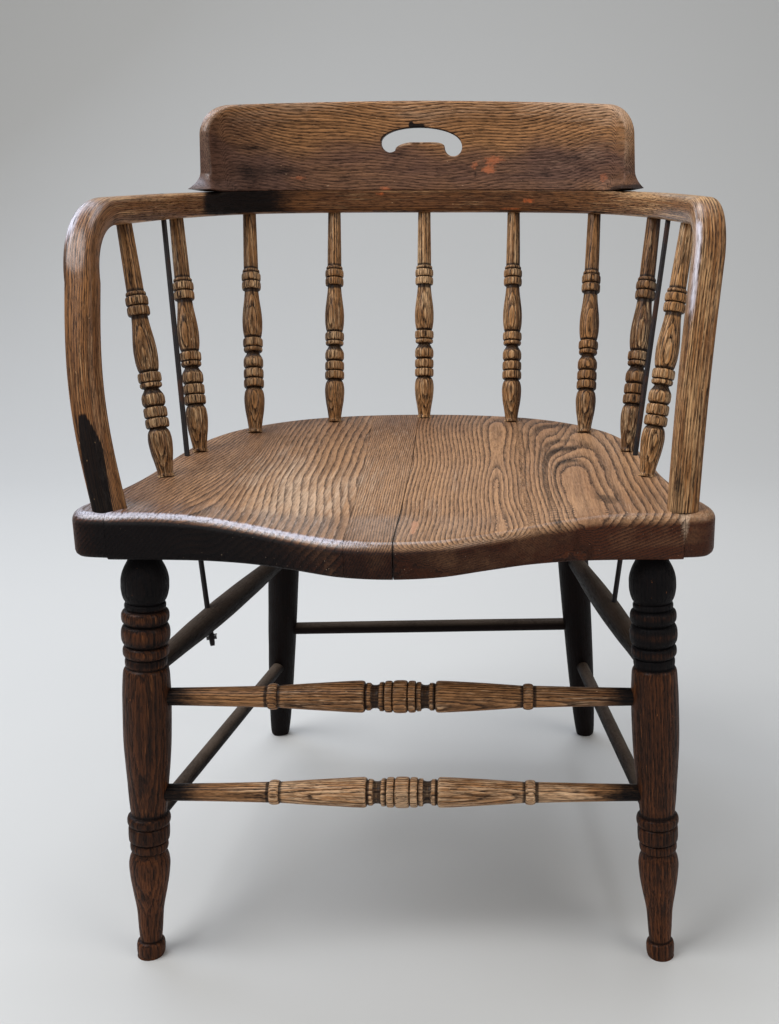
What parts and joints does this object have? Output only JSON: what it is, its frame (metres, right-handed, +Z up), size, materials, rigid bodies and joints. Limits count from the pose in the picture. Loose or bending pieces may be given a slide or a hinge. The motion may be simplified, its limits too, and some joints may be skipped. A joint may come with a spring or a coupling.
{
  "type": "captains chair",
  "caption": "Low-back wooden armchair with a bent arm bow, pierced crest rail, turned spindles, saddled plank seat and turned legs with stretchers.",
  "frame": {"origin": "on the floor, under the middle of the whole chair", "axes": "+Z up, +X to the right as seen from the front, -Y toward the front of the seat"},
  "size_m": [0.5898, 0.5656, 0.8023],
  "materials": {
    "seat_wood": "worn satin varnish",
    "arm_wood": "worn satin varnish",
    "crest_wood": "worn satin varnish",
    "spindle_wood": "worn satin varnish",
    "leg_wood": "worn dark varnish",
    "stretcher_wood": "worn satin varnish",
    "dark_wood": "dark varnish with dust",
    "dowel_wood": "bare",
    "iron": "dark worn iron"
  },
  "bodies": {
    "root": {"seat_ear_left": "seat_wood", "seat_board_left": "seat_wood", "seat_board_centre": "seat_wood", "seat_board_right": "seat_wood", "seat_ear_right": "seat_wood", "arm_bow": "arm_wood", "crest_rail": "crest_wood", "spindle_1": "spindle_wood", "spindle_2": "spindle_wood", "spindle_3": "spindle_wood", "spindle_4": "spindle_wood", "spindle_5": "spindle_wood", "spindle_6": "spindle_wood", "spindle_7": "spindle_wood", "spindle_8": "spindle_wood", "spindle_9": "spindle_wood", "front_leg_left": "leg_wood", "back_leg_left": "dark_wood", "front_leg_right": "leg_wood", "back_leg_right": "dark_wood", "front_stretcher_upper": "stretcher_wood", "front_stretcher_lower": "stretcher_wood", "side_stretcher_upper_left": "dark_wood", "side_stretcher_upper_right": "dark_wood", "side_stretcher_lower_left": "dark_wood", "side_stretcher_lower_right": "dark_wood", "back_stretcher": "dark_wood", "tie_rod_left": "iron", "tie_rod_right": "iron", "tie_rod_washer": "iron", "tie_rod_nut": "iron", "seat_dowel_1": "dowel_wood", "seat_dowel_2": "dowel_wood", "seat_dowel_3": "dowel_wood", "ear_dowel_left_1": "dowel_wood", "ear_dowel_left_2": "dowel_wood", "ear_dowel_right_1": "dowel_wood", "ear_dowel_right_2": "dowel_wood", "arm_dowel_left": "dowel_wood", "arm_dowel_right": "dowel_wood", "crest_dowel_1": "dowel_wood", "crest_dowel_2": "dowel_wood", "crest_dowel_3": "dowel_wood", "crest_dowel_4": "dowel_wood"}
  },
  "joints": []
}
